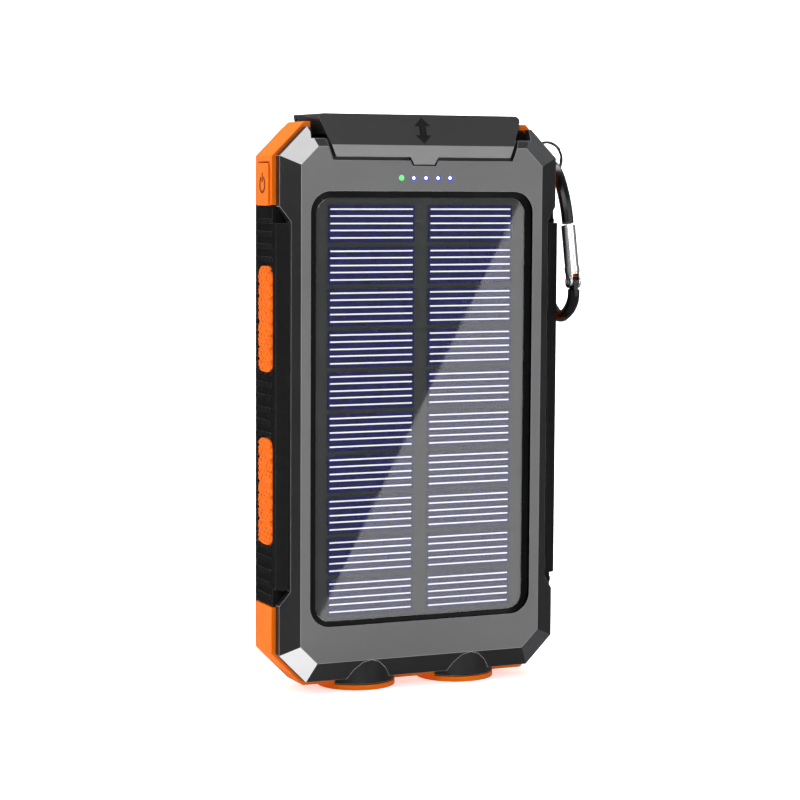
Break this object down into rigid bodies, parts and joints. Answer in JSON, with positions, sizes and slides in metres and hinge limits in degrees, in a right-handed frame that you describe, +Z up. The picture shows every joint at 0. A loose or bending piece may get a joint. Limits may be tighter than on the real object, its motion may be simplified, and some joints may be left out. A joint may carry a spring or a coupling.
{
  "type": "solar phone charger",
  "caption": "Rugged pocket solar charger with flip-up port cap, end torches, side grips, back compass and a carabiner on a split ring.",
  "frame": {"origin": "on the surface it stands on, at the middle of the bounding box in X and Y", "axes": "+Z up along the long side, +Y to the back, +X to the right when facing the solar panel"},
  "size_m": [0.0866, 0.0255, 0.1484],
  "materials": {
    "cover_plastic": "satin moulded plastic",
    "cap_plastic": "satin moulded plastic",
    "back_plastic": "fine satin texture",
    "black_rubber": "matt rubber",
    "orange_plastic": "satin, slightly grained on the grips",
    "panel_glass": "glossy clear epoxy",
    "panel_board": "charcoal board",
    "solar_cell": "navy cells with white conductor lines",
    "clear_plastic": "clear polished",
    "chrome": "polished",
    "steel": "bright steel",
    "black_gloss": "glossy black",
    "white_plastic": "white insulator",
    "circuit_board": "green solder mask",
    "battery_foil": "aluminised pouch",
    "brass": "polished"
  },
  "bodies": {
    "housing": {"front_cover": "cover_plastic", "back_cover": "back_plastic", "mid_frame": "black_rubber", "screw_plug_upper_left": "black_rubber", "screw_plug_upper_right": "black_rubber", "screw_plug_lower_left": "black_rubber", "screw_plug_lower_right": "black_rubber", "corner_band_left": "orange_plastic", "corner_band_right": "orange_plastic", "base_band": "orange_plastic", "grip_left_upper": "orange_plastic", "grip_left_lower": "orange_plastic", "grip_right_upper": "orange_plastic", "grip_right_lower": "orange_plastic", "solar_glass": "panel_glass", "solar_board": "panel_board", "solar_cells_left": "solar_cell", "solar_cells_right": "solar_cell", "light_guide": "clear_plastic", "torch_lens_left": "clear_plastic", "torch_lens_right": "clear_plastic", "compass_lens": "clear_plastic", "usb_a_socket_left": "chrome", "usb_a_socket_right": "chrome", "micro_usb_socket": "chrome", "torch_reflector_left": "chrome", "torch_reflector_right": "chrome", "hinge_pin": "steel", "power_switch": "steel", "screw_upper_left": "steel", "screw_upper_right": "steel", "screw_lower_left": "steel", "screw_lower_right": "steel", "lanyard_pin": "steel", "compass_cup": "black_gloss", "usb_a_tongue_left": "white_plastic", "usb_a_tongue_right": "white_plastic", "micro_usb_tongue": "white_plastic", "torch_led_left": "white_plastic", "torch_led_right": "white_plastic", "torch_board_left": "white_plastic", "torch_board_right": "white_plastic", "main_board": "circuit_board", "battery_left": "battery_foil", "battery_right": "battery_foil", "compass_pivot": "brass"},
    "cap": {"port_cap": "cap_plastic", "cap_seal": "black_rubber"},
    "button": {"power_button": "orange_plastic"},
    "card": {"compass_card": "black_gloss"},
    "ring": {"split_ring": "chrome"},
    "carabiner": {"carabiner_body": "black_gloss", "carabiner_rivet": "steel"},
    "gate": {"carabiner_gate": "chrome"}
  },
  "joints": [
    {"name": "cap_flip", "type": "hinge", "parent": "housing", "child": "cap", "pos_m": [-0.00265, 0.00835, 0.1464], "axis": [-1, 0, 0], "range_deg": [0, 120]},
    {"name": "power_press", "type": "slide", "parent": "housing", "child": "button", "axis": [1, 0, 0], "range_m": [0, 0.0005], "stiffness_N_per_m": 600},
    {"name": "compass_turn", "type": "hinge", "parent": "housing", "child": "card", "pos_m": [-0.00265, 0.00835, 0.1275], "axis": [0, 1, 0], "continuous": true},
    {"name": "ring_swing", "type": "hinge", "parent": "housing", "child": "ring", "pos_m": [0.03535, 0.00175, 0.1379], "axis": [0, -1, 0], "range_deg": [0, 60]},
    {"name": "carabiner_swing", "type": "hinge", "parent": "ring", "child": "carabiner", "pos_m": [0.04005, 0.00175, 0.13307], "axis": [1, 0, 0], "range_deg": [-35, 35]},
    {"name": "gate_open", "type": "hinge", "parent": "carabiner", "child": "gate", "pos_m": [0.04005, -0.01085, 0.10508], "axis": [-1, 0, 0], "range_deg": [0, 25], "stiffness_Nm_per_rad": 0.02, "springref_deg": -11.46}
  ]
}
